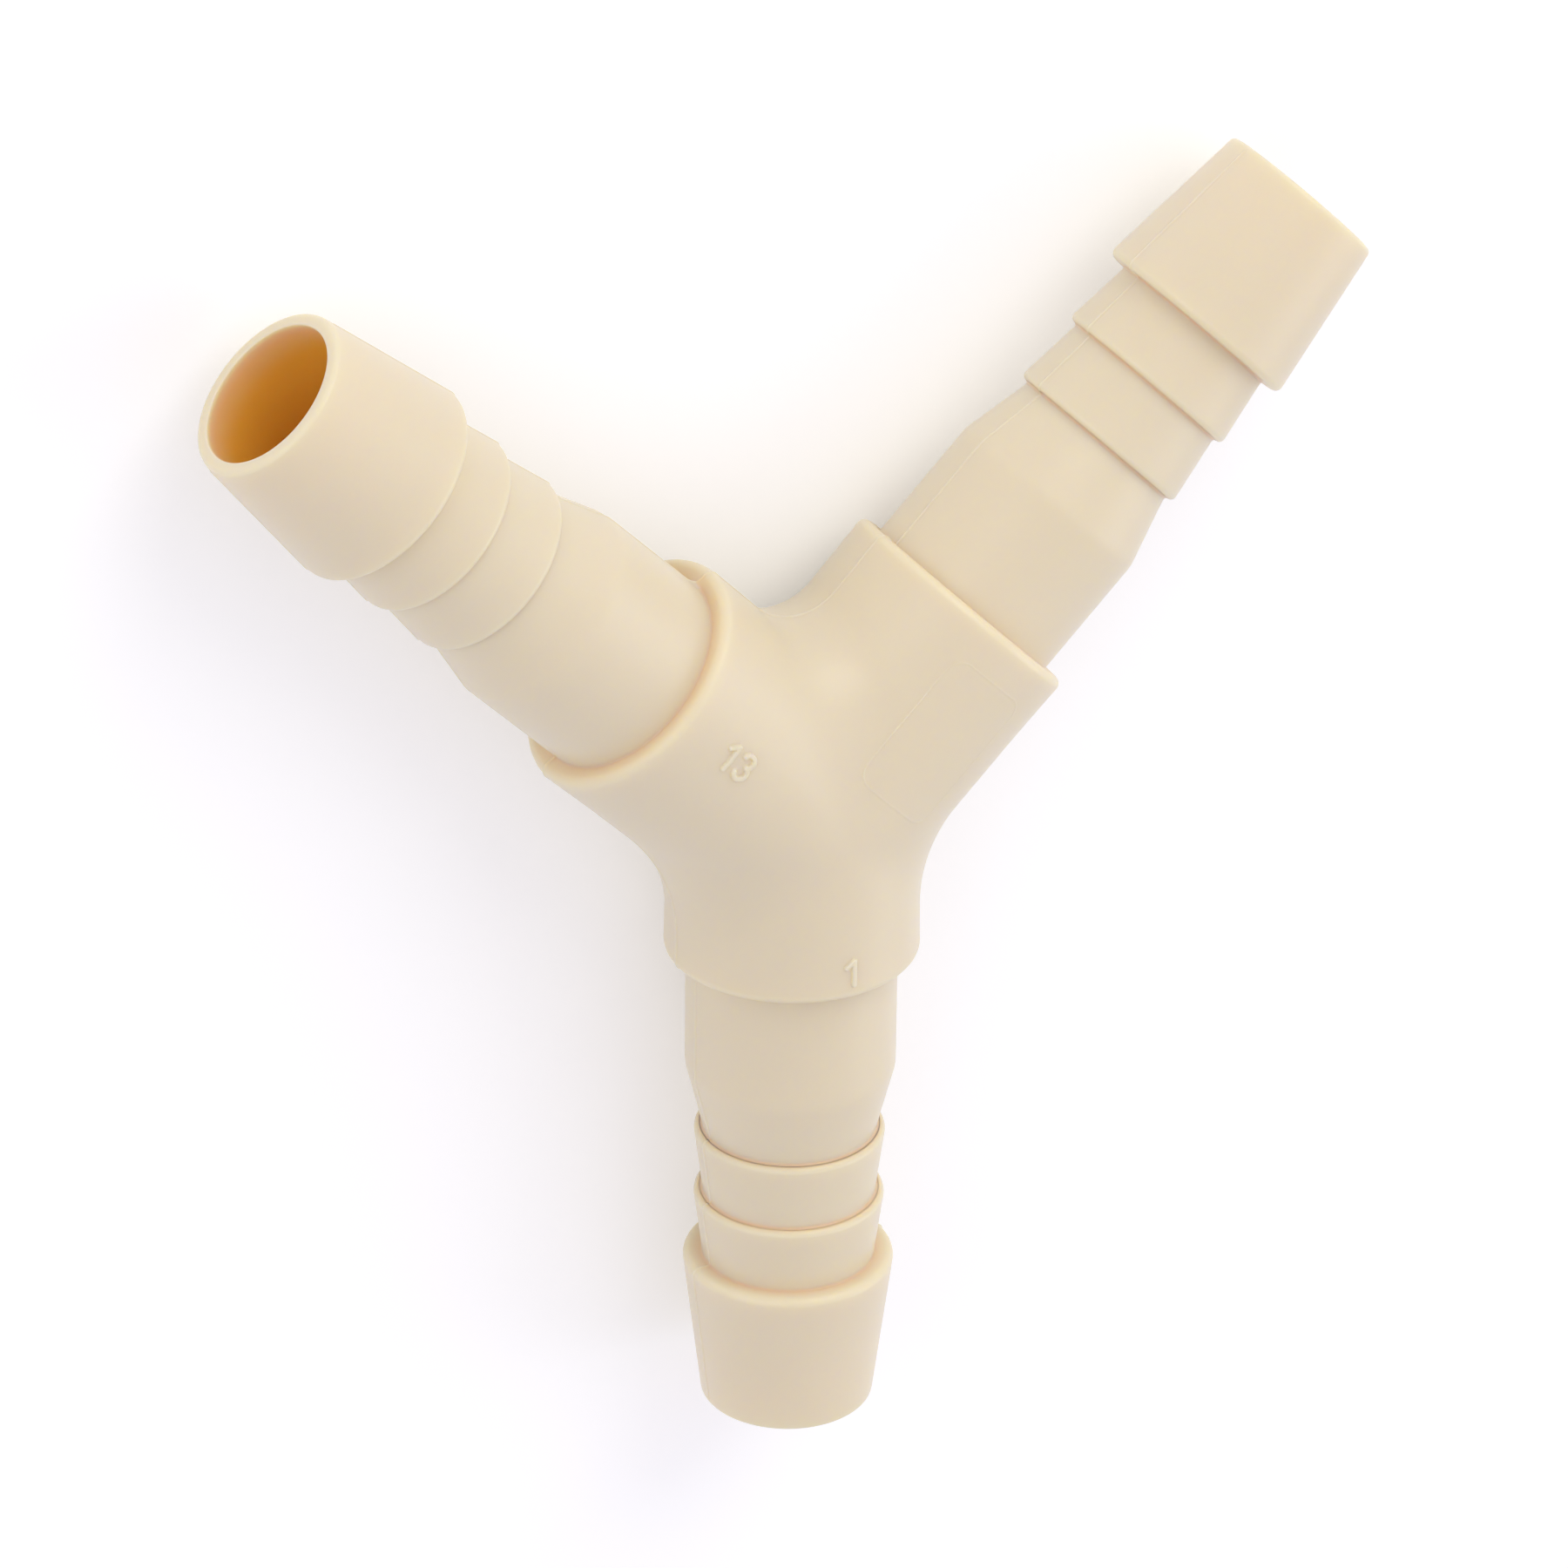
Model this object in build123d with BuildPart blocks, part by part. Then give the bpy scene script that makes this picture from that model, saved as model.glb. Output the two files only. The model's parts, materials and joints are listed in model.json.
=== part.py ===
from build123d import *
import os
from math import cos, radians, sin

# Hose Y connector for 13 mm (1/2 inch) tubing: one moulding, three barbed tails on a three-way hub.
# Millimetres. It lies flat with +Z up, resting on its three collars at Z = 0. The stem points
# along -Y and the two branches spread from +Y towards -X and +X.

# hub
branch_angle = 45.0        # each branch from +Y
hub_radius = 8.5           # the three equal barrels that meet in the hub
stem_crotch_radius = 12.0  # blend between the stem and each branch
branch_crotch_radius = 4.0 # blend between the two branches
stem_collar_end = 10.95    # from the point where the axes meet to the collar's outer face
branch_collar_end = 17.6
collar_flare_length = 5.0
collar_radius = 8.6        # the collar widens a little towards its outer face
collar_edge_radius = 0.6

# hose tail, lengths counted from the collar's outer face
root_radius = 7.12
root_length = 8.65
neck_radius = 5.88         # at the foot of every barb
small_barb_radius = 6.53   # crest of the two inner barbs, the 13 mm hose size
large_barb_radius = 7.25   # crest of the outer barb, which holds the hose
first_barb = 13.6
second_barb = 18.57
third_barb = 23.5
small_crest_edge = 0.15
large_crest_edge = 0.2
tail_length = 34.65
tip_radius = 5.88
tip_edge = 0.35

# bores
bore_radius = 5.0
mouth_edge = 0.2

# the point where the three axes meet: the part is centred in X and Y and rests on Z = 0
stem_length = stem_collar_end + tail_length
branch_length = branch_collar_end + tail_length
branch_reach = (
    branch_length * cos(radians(branch_angle))
    + (tip_radius - tip_edge) * sin(radians(branch_angle))
)
meeting_point = Vector(0, (stem_length - branch_reach) / 2, collar_radius)

# each arm: its direction, and the distance from the meeting point to its collar's outer face
arms = (
    (Vector(0, -1, 0), stem_collar_end),
    (Vector(sin(radians(branch_angle)), cos(radians(branch_angle)), 0), branch_collar_end),
    (Vector(-sin(radians(branch_angle)), cos(radians(branch_angle)), 0), branch_collar_end),
)


def corner(section, point):
    """The corner of a section nearest to a point."""
    return section.vertices().sort_by_distance(point)[0]


with BuildPart() as connector:
    # each arm is one section turned about its axis: hub barrel, collar and barbed tail
    for direction, collar_end in arms:
        root_end = collar_end + root_length
        tail_end = collar_end + tail_length
        barbs = (
            (collar_end + first_barb, small_barb_radius, small_crest_edge),
            (collar_end + second_barb, small_barb_radius, small_crest_edge),
            (collar_end + third_barb, large_barb_radius, large_crest_edge),
        )
        outline = [(0, 0), (0, hub_radius), (collar_end - collar_flare_length, hub_radius)]
        outline += [(collar_end, collar_radius), (collar_end, root_radius), (root_end, root_radius)]
        for shoulder, crest, edge in barbs:
            outline += [(shoulder, neck_radius), (shoulder, crest)]
        outline += [(tail_end, tip_radius), (tail_end, 0)]
        with BuildSketch(Plane(origin=meeting_point, x_dir=direction, z_dir=(0, 0, 1))) as section:
            with BuildLine():
                Polyline(*outline, close=True)
            make_face()
            fillet(corner(section, (collar_end, collar_radius)), collar_edge_radius)
            for shoulder, crest, edge in barbs:
                chamfer(corner(section, (shoulder, crest)), edge)
            chamfer(corner(section, (tail_end, tip_radius)), tip_edge)
        revolve(axis=Axis(meeting_point, direction))

    # the barrels cross in three creases, blended into smooth crotches
    creases = connector.edges().filter_by(GeomType.ELLIPSE)
    fillet(creases.filter_by(lambda crease: crease.center().Y < meeting_point.Y), stem_crotch_radius)
    fillet(connector.edges().filter_by(GeomType.ELLIPSE), branch_crotch_radius)

    # three bores of one size, drawn from the mouths to where they run together
    for direction, collar_end in arms:
        with BuildSketch(Plane(origin=meeting_point, z_dir=direction)):
            Circle(bore_radius)
        extrude(amount=collar_end + tail_length, mode=Mode.SUBTRACT)
    mouths = connector.edges().filter_by(GeomType.CIRCLE).filter_by(
        lambda edge: abs(edge.radius - bore_radius) < 0.001
    )
    chamfer(mouths, mouth_edge)

connector.part.label = "y_connector"
os.makedirs("parts", exist_ok=True)
export_step(connector.part, "parts/y_connector.step")
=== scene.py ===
import json
from math import acos, atan2, cos, pi, radians, sin, sqrt, tan

import bmesh
import bpy
from mathutils import Matrix, Vector


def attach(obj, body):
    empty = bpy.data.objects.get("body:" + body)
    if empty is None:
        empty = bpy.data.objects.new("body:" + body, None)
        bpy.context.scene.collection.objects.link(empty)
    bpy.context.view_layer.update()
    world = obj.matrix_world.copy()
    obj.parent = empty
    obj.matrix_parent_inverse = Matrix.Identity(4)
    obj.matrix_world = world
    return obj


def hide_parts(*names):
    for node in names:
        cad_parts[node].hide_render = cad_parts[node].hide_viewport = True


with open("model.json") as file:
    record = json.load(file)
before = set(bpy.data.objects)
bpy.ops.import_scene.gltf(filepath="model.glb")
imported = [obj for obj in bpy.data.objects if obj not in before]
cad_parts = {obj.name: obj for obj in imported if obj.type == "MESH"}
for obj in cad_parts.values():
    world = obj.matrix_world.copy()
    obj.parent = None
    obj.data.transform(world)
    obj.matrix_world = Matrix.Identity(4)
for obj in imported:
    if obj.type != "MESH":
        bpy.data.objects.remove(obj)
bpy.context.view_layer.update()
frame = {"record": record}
mounts = {mount["name"]: mount for mount in frame["record"]["mounts"]}
mm = 0.001  # lengths below are in millimetres, Blender's are in metres
print("frame loaded")


def hexColour(code):
    # sRGB hex to the linear values that shaders and lamps take
    def linear(value):
        return value / 12.92 if value <= 0.04045 else ((value + 0.055) / 1.055) ** 2.4
    return tuple(linear(int(code[i:i + 2], 16) / 255) for i in (1, 3, 5)) + (1.0,)


def addNode(tree, kind, links=(), **settings):
    # a setting is one of the node's properties, or else a socket's value, with _ for each space
    node = tree.nodes.new(kind)
    for name, value in settings.items():
        if hasattr(node, name):
            setattr(node, name, value)
        else:
            node.inputs[name.replace("_", " ")].default_value = value
    for socket, source in links:
        tree.links.new(source, node.inputs[socket])
    return node


def newMaterial(name):
    material = bpy.data.materials.new(name)
    material.use_nodes = True
    material.node_tree.nodes.clear()
    return material, material.node_tree


def clamped(share):
    return max(0.0, min(1.0, share))


# Polypropylene, injection moulded in a spark-eroded steel tool. The skin is satin, not glossy. Light
# goes a little way in and comes out warm, which softens the edges. The bores and the corners, which
# get light only through the plastic or from a wall close by, have an amber painted shade in their colour.
polypropylene = {
    "colour": "#E9DDC2",
    "streakColour": "#E6DABD",
    # painted shade: the amber colour painted into the bores and the corners
    "paintedShadeColour": "#F7BC4A",
    "ior": 1.49,
    "roughness": 0.34,
    "bleedAmount": 1.0,
    "bleed": 1.4,                      # mm that light travels under the open skin
    "boreBleed": 0.15,                 # mm, the same in the bore, which keeps its colour deep
    "bleedByColour": (1.0, 0.9, 0.4),  # share of that for red, green and blue
    "streakSize": 9.0,                 # mm, faint flow marks
    "grainSize": 0.12,                 # mm, the tool's texture, drawn coarser than its real 0.05
    "grainDepth": 0.004,               # mm
    "grainStrength": 0.35,
}


def mouldedPolypropylene():
    p = polypropylene
    material, tree = newMaterial("polypropylene_moulded")
    place = addNode(tree, "ShaderNodeTexCoord").outputs["Object"]
    streaks = addNode(tree, "ShaderNodeTexNoise", [("Vector", place)],
                      Scale=1 / (p["streakSize"] * mm), Detail=2.0, Roughness=0.5)
    # a colour mix takes its colours at sockets 6 and 7 and gives the result at 2
    openSkin = addNode(tree, "ShaderNodeMix", [("Factor", streaks.outputs["Fac"])], data_type="RGBA")
    openSkin.inputs[6].default_value = hexColour(p["colour"])
    openSkin.inputs[7].default_value = hexColour(p["streakColour"])
    # the painted shade mask: it mixes in the amber painted shade and shortens the bleed where it is high
    paintedShade = addNode(tree, "ShaderNodeAttribute", attribute_name="paintedShade").outputs["Fac"]
    colour = addNode(tree, "ShaderNodeMix", [("Factor", paintedShade), (6, openSkin.outputs[2])],
                     data_type="RGBA")
    colour.inputs[7].default_value = hexColour(p["paintedShadeColour"])
    bleed = addNode(tree, "ShaderNodeMapRange", [("Value", paintedShade)],
                    To_Min=p["bleed"] * mm, To_Max=p["boreBleed"] * mm)
    grain = addNode(tree, "ShaderNodeTexNoise", [("Vector", place)],
                    Scale=1 / (p["grainSize"] * mm), Detail=1.0)
    bump = addNode(tree, "ShaderNodeBump", [("Height", grain.outputs["Fac"])],
                   Strength=p["grainStrength"], Distance=p["grainDepth"] * mm)
    skin = addNode(tree, "ShaderNodeBsdfPrincipled",
                   [("Base Color", colour.outputs[2]), ("Normal", bump.outputs["Normal"]),
                    ("Subsurface Scale", bleed.outputs["Result"])],
                   Roughness=p["roughness"], IOR=p["ior"],
                   Subsurface_Weight=p["bleedAmount"], Subsurface_Radius=p["bleedByColour"])
    addNode(tree, "ShaderNodeOutputMaterial", [("Surface", skin.outputs["BSDF"])])
    return material


connector = {
    # hub; a crotch is a blend radius at the side and on top
    "hubRadius": 8.5,
    "stemCrotch": (12.0, 12.0),   # between the stem and each branch
    "branchCrotch": (4.0, 14.0),  # between the branches
    "crotchRise": 3.0,            # how late the second radius comes in, as a power
    "boreRadius": 5.0,
    # collar
    "flareLength": 5.0,
    "collarRadius": 8.585,
    "collarRim": 0.6,
    "collarSide": 2.0,            # of the collar's side that is drawn with the tail
    "faceDish": 0.3,              # how far the face falls back towards the root
    # tail, with lengths from the collar's rim
    "rootRadius": 7.12,
    "rootLength": 8.65,
    "rootCorner": 0.15,
    "rootShoulder": 3.0,          # rounding where the root turns down to the first neck
    "neckRadius": 5.88,
    "neckCorner": 0.2,
    "barbs": ((13.6, 6.53, 0.4), (18.57, 6.53, 0.4), (23.5, 7.25, 0.5)),  # place, crest radius, rounding
    "tailLength": 34.65,
    "tipRadius": 5.88,
    "tipRim": 0.36,
    "mouthRim": 0.1,
    "mouthDepth": 3.0,            # of the bore that is drawn with the tail
    # the ridge where the tool's halves meet, and a little flash in one collar's corner
    "partingHeight": 0.075,
    "partingAngle": 0.8,          # degrees, half its width
    "flashArm": "left",
    "flashAngle": 180.0,
    "flashHalfWidth": 9.0,        # degrees
    "flashReach": 0.8,
    "flashHeight": 0.3,
    # painted shade, which paints in the warm amber colour: how much in a corner, and over how many mm of the
    # face beside it
    "collarShade": (0.3, 1.4),
    "barbShade": (0.35, 0.6),
    "skinShade": 0.25,            # mm of the tail's own skin
    "boreShade": (0.3, 2.8),      # mm into the bore where the colour begins and where it is full
    "boreCurve": 0.35,            # under 1 it comes in early
    # mesh
    "columns": 40,                # in a quarter turn
    "partingColumns": (0.0, 0.35, 0.7, 1.0),  # in parting angles
    "evenFrom": 2.5,              # degrees, where the even columns begin
    "blendRows": 9,
    "barrelRows": 20,
    "boreRows": 10,
    "cornerSteps": (4, 7),        # in a small and in a large rounding
    "smallCorner": 0.25,
    "longSpan": 1.6,              # a longer straight has rows close to its ends, which keeps it flat
    "endRows": (0.3, 0.8),
    "weldGap": 0.0002,
    "sharpCorner": 40.0,          # degrees
}


def arcPoints(before, corner, after, radius, steps):
    # a corner of the section rounded to a radius, as points (along, out from the axis)
    into, out = (before - corner).normalized(), (after - corner).normalized()
    half = acos(max(-1.0, min(1.0, into.dot(out)))) / 2
    middle = corner + (into + out).normalized() * (radius / sin(half))
    first = corner + into * (radius / tan(half)) - middle
    sweep = (pi - 2 * half) * (1 if into.cross(out) < 0 else -1)
    return [middle + Matrix.Rotation(sweep * i / steps, 2) @ first for i in range(steps + 1)]


def tailSection(collarEnd):
    # the turned section from the collar's side round the tip and into the bore
    c = connector
    end = collarEnd + c["tailLength"]
    corners = [(collarEnd - c["collarSide"], c["collarRadius"], 0.0),
               (collarEnd, c["collarRadius"], c["collarRim"]),
               (collarEnd - c["faceDish"], c["rootRadius"], c["rootCorner"]),
               (collarEnd + c["rootLength"], c["rootRadius"], c["rootShoulder"])]
    for place, crest, rim in c["barbs"]:
        corners += [(collarEnd + place, c["neckRadius"], c["neckCorner"]), (collarEnd + place, crest, rim)]
    corners += [(end, c["tipRadius"], c["tipRim"]), (end, c["boreRadius"], c["mouthRim"]),
                (end - c["mouthDepth"], c["boreRadius"], 0.0)]
    spots = [Vector(corner[:2]) for corner in corners]
    rounded = []
    for i in range(1, len(corners) - 1):
        radius = corners[i][2]
        steps = c["cornerSteps"][0 if radius < c["smallCorner"] else 1]
        rounded += arcPoints(spots[i - 1], spots[i], spots[i + 1], radius, steps)
    rounded.append(spots[-1])
    section = rounded[:1]
    for spot in rounded[1:]:
        last = section[-1]
        span = (spot - last).length
        if span > c["longSpan"]:
            shares = [row / span for row in c["endRows"]]
            section += [last.lerp(spot, share) for share in sorted(shares + [1 - share for share in shares])]
        section.append(spot)
    return section


def paintedShadeAt(spot, collarEnd):
    # painted shade: 0 on the open skin, 1 in the bore, part way in the corners of the collar and the barbs;
    # the material paints amber from it
    c = connector
    if spot.y < c["boreRadius"] + c["mouthRim"] / 2 and spot.x > collarEnd:
        first, last = c["boreShade"]
        return clamped((collarEnd + c["tailLength"] - first - spot.x) / (last - first)) ** c["boreCurve"]
    corners = [(collarEnd - c["faceDish"], c["rootRadius"]) + c["collarShade"]]
    corners += [(collarEnd + place, c["neckRadius"]) + c["barbShade"] for place, crest, rim in c["barbs"]]
    paintedShade = 0.0
    for along, radius, shade, reach in corners:
        away = spot - Vector((along, radius))
        onFace = away.y > abs(away.x)
        paintedShade = max(paintedShade, shade * clamped(1 - away.length / (reach if onFace else c["skinShade"])))
    return paintedShade


def columnAngles():
    # close together at the parting line, even elsewhere, the same in all four quarters
    c = connector
    count = c["columns"] - len(c["partingColumns"])
    quarter = [c["partingAngle"] * share for share in c["partingColumns"]]
    quarter += [c["evenFrom"] + (90 - c["evenFrom"]) * i / count for i in range(count + 1)]
    half = quarter + [180 - angle for angle in reversed(quarter[:-1])]
    return [radians(angle) for angle in half + [180 + angle for angle in half[1:-1]]]


def partingRise(angle):
    away = min(abs(angle), abs(angle - pi), abs(angle - 2 * pi)) / radians(connector["partingAngle"])
    return connector["partingHeight"] * (1 - away ** 2) ** 2 if away < 1 else 0.0


def flashRise(spot, angle, collarEnd):
    c = connector
    corner = Vector((collarEnd - c["faceDish"], c["rootRadius"]))
    away = (spot - corner).length / c["flashReach"]
    turn = abs(angle - radians(c["flashAngle"])) / radians(c["flashHalfWidth"])
    return c["flashHeight"] * (1 - away ** 2) ** 2 * (1 - turn ** 2) ** 2 if away < 1 and turn < 1 else 0.0


def flareRise(along, collarEnd):
    # the barrel widens towards its collar
    c = connector
    return (c["collarRadius"] - c["hubRadius"]) * clamped((along - collarEnd) / c["flareLength"] + 1)


def blendPoints(angle, half, blends, collarEnd):
    # one column of the blend, from the plane half way to the neighbour down to the barrel, by a ball
    # that rolls on both barrels; half is the angle to that plane
    c = connector
    hub, rise = c["hubRadius"], partingRise(angle)
    side, up = cos(angle), sin(angle)
    radius = blends[0] + (blends[1] - blends[0]) * abs(up) ** c["crotchRise"]
    ball = Vector(((hub + radius) * abs(side) / tan(half), (hub + radius) * side, (hub + radius) * up))
    contact = Vector((ball.x, hub * side, hub * up))
    last = (contact - ball) / radius
    planeNormal = Vector((sin(half), -cos(half) if side >= 0 else cos(half), 0))
    first = (last - planeNormal * last.dot(planeNormal)).normalized()
    spread = first.angle(last)
    points = []
    for i in range(c["blendRows"]):
        share = i / c["blendRows"]
        direction = last
        if abs(side) > 1e-5:  # on top both directions are the same
            direction = (first * sin((1 - share) * spread) + last * sin(share * spread)) / sin(spread)
        point = ball + direction * (radius - rise)
        away = Vector((0, point.y, point.z)).normalized()
        points.append(point + away * flareRise(point.x, collarEnd))
    return points, contact.x


def armPoints(name, collarEnd, towards, away):
    # one column for each angle round the arm: from the hub out over the tail and back up the bore, as
    # (along, across, up). towards and away are the half angle and the blend radii to its neighbours
    c = connector
    section = tailSection(collarEnd)
    # painted shade for each row of a column: none on the blend and the barrel, then along the section, full
    # in the bore
    paintedShade = [0.0] * (c["blendRows"] + c["barrelRows"])
    paintedShade += [paintedShadeAt(spot, collarEnd) for spot in section] + [1.0] * c["boreRows"]
    columns = []
    for angle in columnAngles():
        side, up, rise = cos(angle), sin(angle), partingRise(angle)
        half, blends = towards if side >= 0 else away
        column, barrelStart = blendPoints(angle, half, blends, collarEnd)
        profile = []
        for i in range(c["barrelRows"]):
            along = barrelStart + (section[0].x - barrelStart) * i / c["barrelRows"]
            profile.append((along, c["hubRadius"] + flareRise(along, collarEnd) + rise))
        for i, spot in enumerate(section):
            way = section[min(i + 1, len(section) - 1)] - section[max(i - 1, 0)]
            normal = Vector((-way.y, way.x)).normalized()
            inBore = spot.y < c["boreRadius"] + c["mouthRim"]
            onSkin = not inBore and spot.x < collarEnd + c["tailLength"] - c["tipRim"]
            moved = spot + normal * (rise if onSkin else 0.0)
            if name == c["flashArm"]:
                moved += Vector((0.7, 0.7)) * flashRise(spot, angle, collarEnd)  # slantwise
            profile.append(tuple(moved))
        inside = section[-1].x
        meeting = c["boreRadius"] * abs(side) / tan(half)  # where the bores run together
        for i in range(1, c["boreRows"] + 1):
            profile.append((inside + (meeting - inside) * i / c["boreRows"], c["boreRadius"]))
        columns.append(column + [Vector((along, out * side, out * up)) for along, out in profile])
    return columns, paintedShade


def armFrames():
    # each arm, anticlockwise: where it starts, its direction, the way across it, where its collar ends
    frames = {}
    for name in ("stem", "right", "left"):
        bore, tail = mounts[name + "_bore"], mounts[name + "_tail"]
        direction = Vector(bore["axis"])
        start = Vector(bore["pos_m"]) / mm - direction * bore["dims"]["length_mm"]
        across = Vector((0, 0, 1)).cross(direction)
        frames[name] = (start, direction, across, (Vector(tail["pos_m"]) / mm - start).length)
    return frames


def hubAndTails():
    c = connector
    frames = armFrames()
    names = list(frames)
    points, faces, shades = [], [], []
    for i, name in enumerate(names):
        start, direction, across, collarEnd = frames[name]
        links = []
        for other in (names[(i + 1) % len(names)], names[i - 1]):
            crotch = "stemCrotch" if "stem" in (name, other) else "branchCrotch"
            links.append((direction.angle(frames[other][1]) / 2, c[crotch]))
        columns, paintedShade = armPoints(name, collarEnd, links[0], links[1])
        rows, first = len(columns[0]), len(points)
        for column in columns:
            points += [start + direction * spot.x + across * spot.y + Vector((0, 0, spot.z))
                       for spot in column]
            shades += paintedShade
        for j in range(len(columns)):
            near, far = first + j * rows, first + (j + 1) % len(columns) * rows
            faces += [(near + k, near + k + 1, far + k + 1, far + k) for k in range(rows - 1)]
    return points, faces, shades


def newPiece(name, points, faces, shades, material):
    mesh = bpy.data.meshes.new(name)
    mesh.from_pydata([point * mm for point in points], [], faces)
    mesh.materials.append(material)
    # the painted shade mask that the material turns into amber in the bores and the corners
    mesh.attributes.new("paintedShade", "FLOAT", "POINT").data.foreach_set("value", shades)
    mesh.shade_smooth()
    piece = bpy.data.objects.new(name, mesh)
    bpy.context.scene.collection.objects.link(piece)
    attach(piece, "root")
    return piece


def weld(piece):
    # the arms meet in their first and last rows of points
    gap = connector["weldGap"] * mm
    work = bmesh.new()
    work.from_mesh(piece.data)
    bmesh.ops.remove_doubles(work, verts=work.verts, dist=gap)
    bmesh.ops.dissolve_degenerate(work, edges=work.edges, dist=gap)
    bmesh.ops.recalc_face_normals(work, faces=work.faces)
    if work.calc_volume(signed=True) < 0:
        bmesh.ops.reverse_faces(work, faces=work.faces)
    for edge in work.edges:
        if edge.is_manifold and edge.calc_face_angle() > radians(connector["sharpCorner"]):
            edge.smooth = False
    work.to_mesh(piece.data)
    work.free()


body = newPiece("connector_body", *hubAndTails(), mouldedPolypropylene())
weld(body)
print("connector body made")


# raised figures on the barrels, and the outline that the tool's insert leaves round a third place
figures = {
    # arm, distance along it, angle round it, turn of the writing from the arm's direction, then each
    # figure's shape and its shift in figure heights
    "size": ("left", 12.0, 92.0, 180.0, (("one", -0.36), ("three", 0.3))),
    "cavity": ("stem", 8.8, 88.5, 90.0, (("one", 0.0),)),
}

relief = {
    "figureHeight": 2.1,
    "figureRise": 0.18,
    "figureLine": 0.32,            # width of the raised line
    "figureEdge": 0.08,            # width of its slope
    "bowlSteps": 12,               # straight lines in each round of the three
    "insertArm": "right",
    "insertAlong": (4.2, 14.6),
    "insertAngles": (67.0, 113.0),
    "insertCorner": 1.2,
    "insertRise": 0.05,
    "insertEdge": 0.08,
    # mesh
    "splitMargin": 0.35,           # it is split this far beside a line
    "raiseMargin": 0.5,            # and its points are laid and raised this far beside it
    "searchAlong": 8.0,            # each way from the middle of the mark
    "searchDepth": 0.6,            # down from the barrel's radius, so that the bore is left out
    "splits": ((True, 1), (False, 5)),  # cuts, at first only in the edges that run lengthwise
    "sag": 0.012,                  # a new point is at most this far inside the barrel, and goes out to it
}


def figureLines(shapes):
    # the figures' centre lines, as pairs of points; outlines are in figure heights
    def bowl(middle, radius, first, last):
        steps = relief["bowlSteps"]
        angles = [radians(first + (last - first) * i / steps) for i in range(steps + 1)]
        return [(radius * cos(angle), middle + radius * sin(angle)) for angle in angles]
    outlines = {"one": [(-0.2, 0.22), (0.06, 0.42), (0.06, -0.42)],
                "three": bowl(0.21, 0.21, 160, -75) + bowl(-0.19, 0.23, 75, -160)}
    lines = []
    for shape, shift in shapes:
        spots = [Vector((x + shift, y)) * relief["figureHeight"] for x, y in outlines[shape]]
        lines += zip(spots, spots[1:])
    return lines


def toLines(spot, lines):
    # distance from the nearest line
    distances = []
    for first, second in lines:
        along = second - first
        share = clamped((spot - first).dot(along) / along.length_squared)
        distances.append((spot - first - along * share).length)
    return min(distances)


def toInsert(spot, half):
    # distance from the insert's outline, a rectangle with rounded corners
    corner = relief["insertCorner"]
    past = Vector((abs(spot.x) - half.x + corner, abs(spot.y) - half.y + corner))
    outside = Vector((max(past.x, 0), max(past.y, 0))).length
    return abs(outside + min(max(past.x, past.y), 0) - corner)


def raiseOnSkin(work, arm, along, angle, turn, distance, width, edge, rise):
    # splits the skin near a drawn line, lays it back on the barrel and raises the line
    r = relief
    start, direction, across, collarEnd = armFrames()[arm]
    hub = connector["hubRadius"]
    turned = Matrix.Rotation(radians(-turn), 2)

    def local(vert):
        away = vert.co / mm - start
        side, up = away.dot(across), away.z
        return away.dot(direction), side, up, sqrt(side * side + up * up)

    def flat(place, side, up):
        return turned @ Vector((place - along, (radians(angle) - atan2(up, side)) * hub))

    def facesNear(reach):
        faces = []
        for face in work.faces:
            place, side, up, far = local(face.verts[0])
            if far > hub - r["searchDepth"] and abs(place - along) < r["searchAlong"] and up > 0:
                if any(distance(flat(*local(vert)[:3])) < reach for vert in face.verts):
                    faces.append(face)
        return faces

    for lengthwise, cuts in r["splits"]:
        edges = set()
        for face in facesNear(width / 2 + r["splitMargin"]):
            for line in face.edges:
                way = (line.verts[1].co - line.verts[0].co).normalized()
                if not lengthwise or abs(way.dot(direction)) > 0.7:  # within about 45 degrees
                    edges.add(line)
        bmesh.ops.subdivide_edges(work, edges=list(edges), cuts=cuts, use_grid_fill=True)
    for vert in {vert for face in facesNear(width / 2 + r["raiseMargin"]) for vert in face.verts}:
        place, side, up, far = local(vert)
        barrel = hub + flareRise(place, collarEnd)
        rest = barrel if abs(far - barrel) < r["sag"] else far
        share = clamped(0.5 + (width / 2 - distance(flat(place, side, up))) / edge)
        out = (rest + rise * share * share * (3 - 2 * share)) / far
        vert.co = (start + direction * place + across * side * out + Vector((0, 0, up * out))) * mm


def raiseMarks(piece):
    r = relief
    work = bmesh.new()
    work.from_mesh(piece.data)
    for arm, along, angle, turn, shapes in figures.values():
        lines = figureLines(shapes)
        raiseOnSkin(work, arm, along, angle, turn, lambda spot: toLines(spot, lines),
                    r["figureLine"], r["figureEdge"], r["figureRise"])
    first, last = r["insertAlong"]
    low, high = r["insertAngles"]
    half = Vector(((last - first) / 2, radians(high - low) / 2 * connector["hubRadius"]))
    # its line has no width, so that only half of the rise and of the slope is there
    raiseOnSkin(work, r["insertArm"], (first + last) / 2, (low + high) / 2, 0.0,
                lambda spot: toInsert(spot, half), 0.0, 2 * r["insertEdge"], 2 * r["insertRise"])
    work.to_mesh(piece.data)
    work.free()


raiseMarks(body)
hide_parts("y_connector")
print("figures and insert line raised,", len(body.data.polygons), "faces")


studio = {
    "floorColour": "#F7F7F6",
    "floorSize": 3000.0,
    "floorDrop": 0.02,             # under the collars, so that nothing shares its plane
    "floorGlow": 0.22,             # added to the floor as it is seen, not to the light on the connector
    "lightColour": "#F6F3FF",      # of the light from all round
    "lightStrength": 0.70,
}

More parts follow.
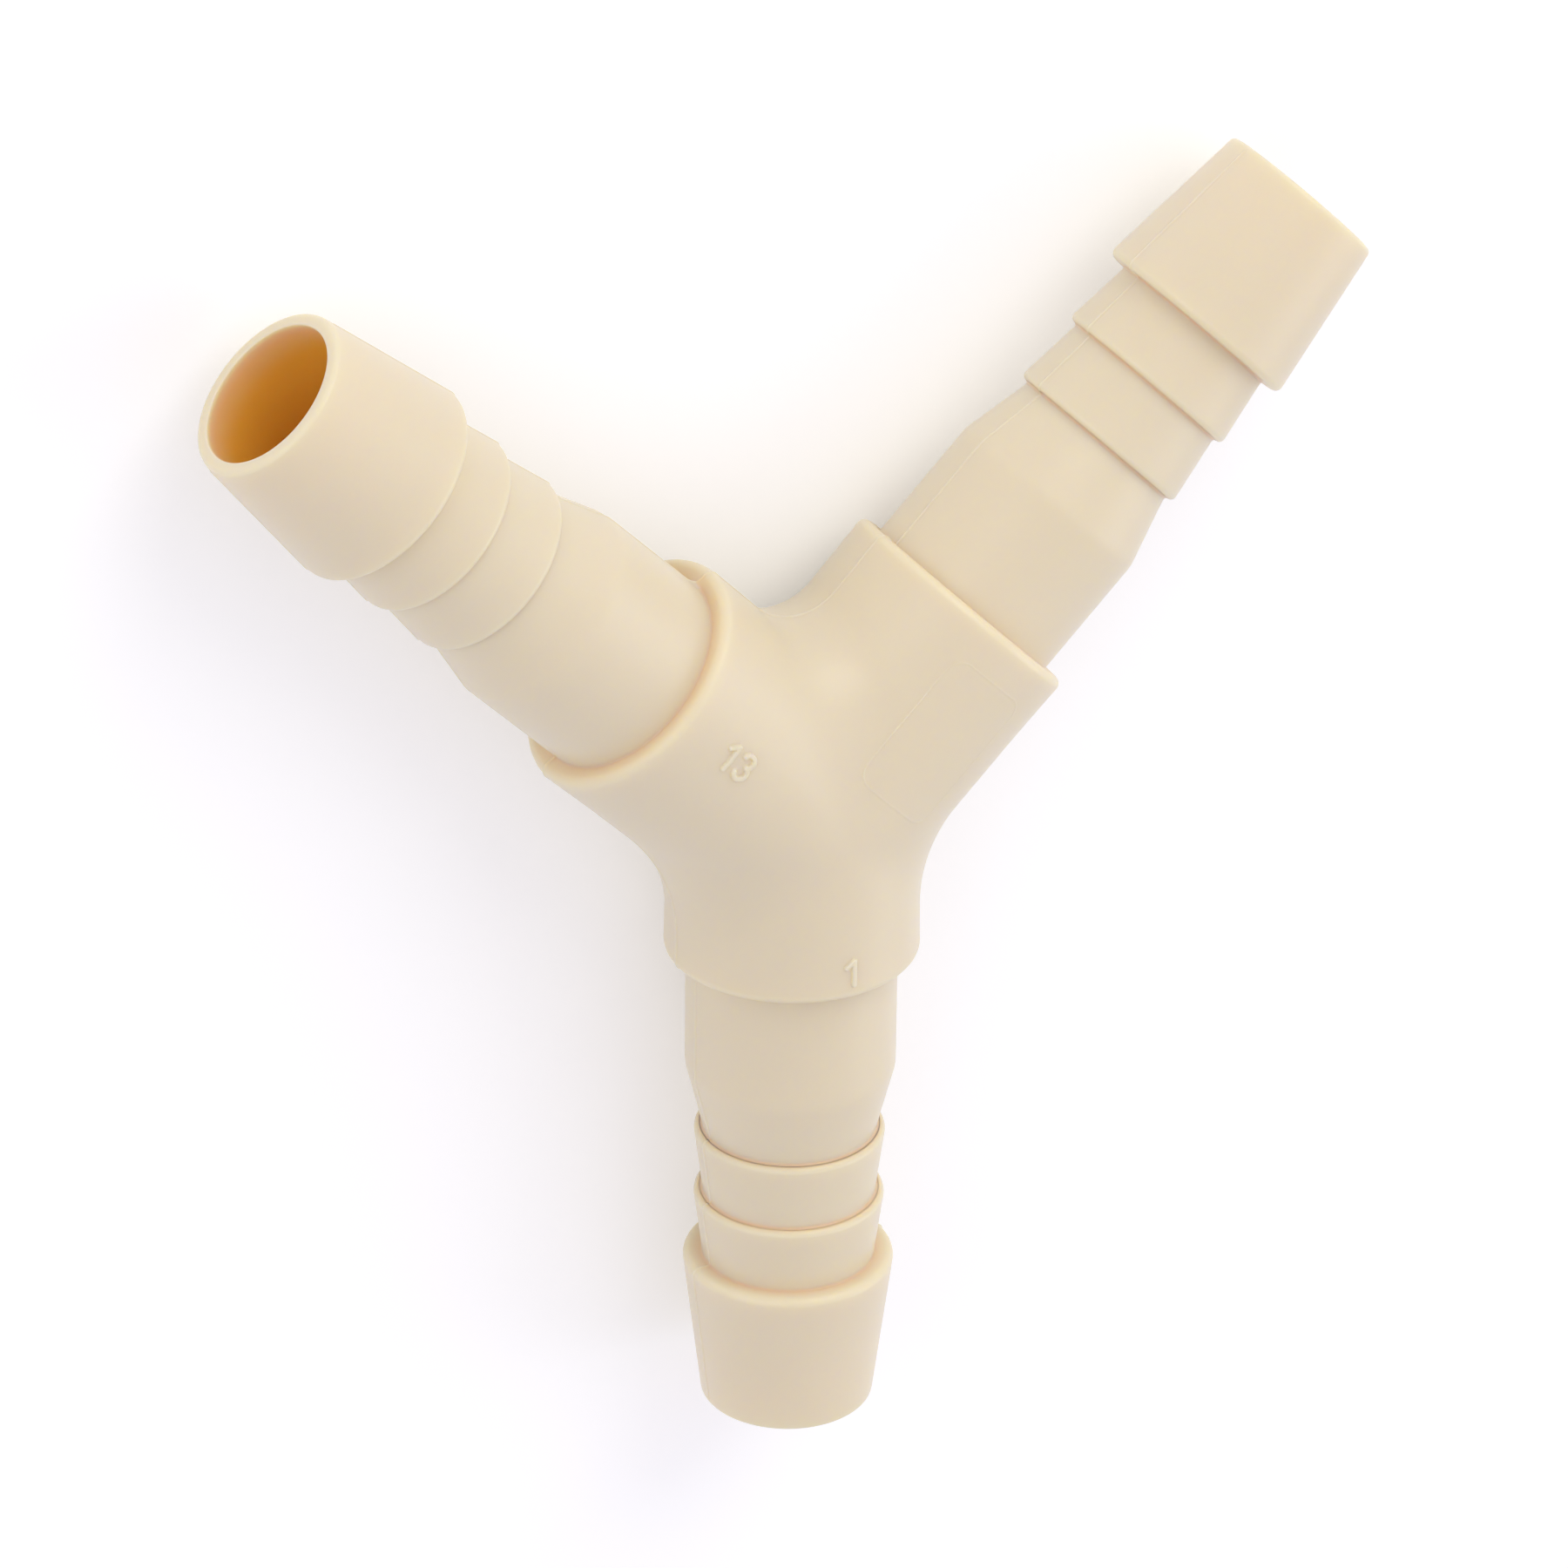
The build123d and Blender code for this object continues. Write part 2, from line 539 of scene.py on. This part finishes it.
lamps = {
    # azimuth and elevation from the connector in degrees, distance, size, watts, colour
    "key": (70.0, 32.0, 600.0, 500.0, 1.0, "#FFFDF0"),
    "side": (-10.0, 30.0, 600.0, 500.0, 0.62, "#FFFFFF"),
    "back": (160.0, 30.0, 600.0, 500.0, 0.6, "#FFFFFF"),
}

camera = {
    "aim": (-0.708, 3.782, 8.6),
    "distance": 508.2,
    "azimuth": 130.24,
    "elevation": 52.34,
    "roll": 133.75,
    "lens": 176.48,
    "sensor": 36.0,
}


def seenDirectly(tree):
    # 1 for what the camera sees, straight or in gloss and glass, and 0 for the light on the connector
    paths = addNode(tree, "ShaderNodeLightPath").outputs
    either = addNode(tree, "ShaderNodeMath", [(0, paths["Is Camera Ray"]), (1, paths["Is Transmission Ray"])],
                     operation="MAXIMUM")
    return addNode(tree, "ShaderNodeMath", [(0, either.outputs[0]), (1, paths["Is Glossy Ray"])],
                   operation="MAXIMUM").outputs[0]


def studioFloor():
    s = studio
    material, tree = newMaterial("studio_floor_paper")
    paper = addNode(tree, "ShaderNodeBsdfDiffuse", Color=hexColour(s["floorColour"]))
    glow = addNode(tree, "ShaderNodeEmission", Color=hexColour("#FFFFFF"), Strength=s["floorGlow"])
    both = addNode(tree, "ShaderNodeAddShader", [(0, paper.outputs[0]), (1, glow.outputs[0])])
    floor = addNode(tree, "ShaderNodeMixShader",
                    [("Fac", seenDirectly(tree)), (1, paper.outputs[0]), (2, both.outputs[0])])
    addNode(tree, "ShaderNodeOutputMaterial", [("Surface", floor.outputs[0])])
    mesh = bpy.data.meshes.new("studio_floor")
    half, height = s["floorSize"] / 2 * mm, -s["floorDrop"] * mm
    mesh.from_pydata([(x * half, y * half, height) for x, y in ((-1, -1), (1, -1), (1, 1), (-1, 1))],
                     [], [(0, 1, 2, 3)])
    mesh.materials.append(material)
    floorPiece = bpy.data.objects.new("studio_floor", mesh)
    bpy.context.scene.collection.objects.link(floorPiece)


def studioWorld():
    world = bpy.data.worlds.new("studio_world")
    bpy.context.scene.world = world
    world.use_nodes = True
    tree = world.node_tree
    tree.nodes.clear()
    soft = addNode(tree, "ShaderNodeBackground",
                   Color=hexColour(studio["lightColour"]), Strength=studio["lightStrength"])
    white = addNode(tree, "ShaderNodeBackground", Color=hexColour("#FFFFFF"), Strength=1.0)
    both = addNode(tree, "ShaderNodeMixShader",
                   [("Fac", seenDirectly(tree)), (1, soft.outputs[0]), (2, white.outputs[0])])
    addNode(tree, "ShaderNodeOutputWorld", [("Surface", both.outputs[0])])


def holderAt(name, data, azimuth, elevation, distance):
    # a lamp or a camera, looking at the middle of the connector from a direction
    holder = bpy.data.objects.new(name, data)
    bpy.context.scene.collection.objects.link(holder)
    turn, lift = radians(azimuth), radians(elevation)
    aim = Vector(camera["aim"]) * mm
    away = Vector((cos(lift) * cos(turn), cos(lift) * sin(turn), sin(lift)))
    holder.location = aim + away * distance * mm
    holder.rotation_euler = (aim - holder.location).to_track_quat("-Z", "Y").to_euler()
    return holder


def softLamp(name, azimuth, elevation, distance, size, watts, colour):
    lamp = bpy.data.lights.new(name, "AREA")
    lamp.shape = "DISK"
    lamp.size = size * mm
    lamp.energy = watts
    lamp.color = hexColour(colour)[:3]
    holderAt(name, lamp, azimuth, elevation, distance)


def studioCamera():
    s = camera
    lens = bpy.data.cameras.new("studio_camera")
    lens.lens, lens.sensor_width = s["lens"], s["sensor"]
    holder = holderAt("studio_camera", lens, s["azimuth"], s["elevation"], s["distance"])
    level = holder.rotation_euler.to_matrix()
    holder.rotation_euler = (level @ Matrix.Rotation(radians(s["roll"]), 3, "Z")).to_euler()
    bpy.context.scene.camera = holder


studioFloor()
studioWorld()
for name, values in lamps.items():
    softLamp(name + "_lamp", *values)
studioCamera()
bpy.context.scene.view_settings.view_transform = "Standard"
print("studio made")
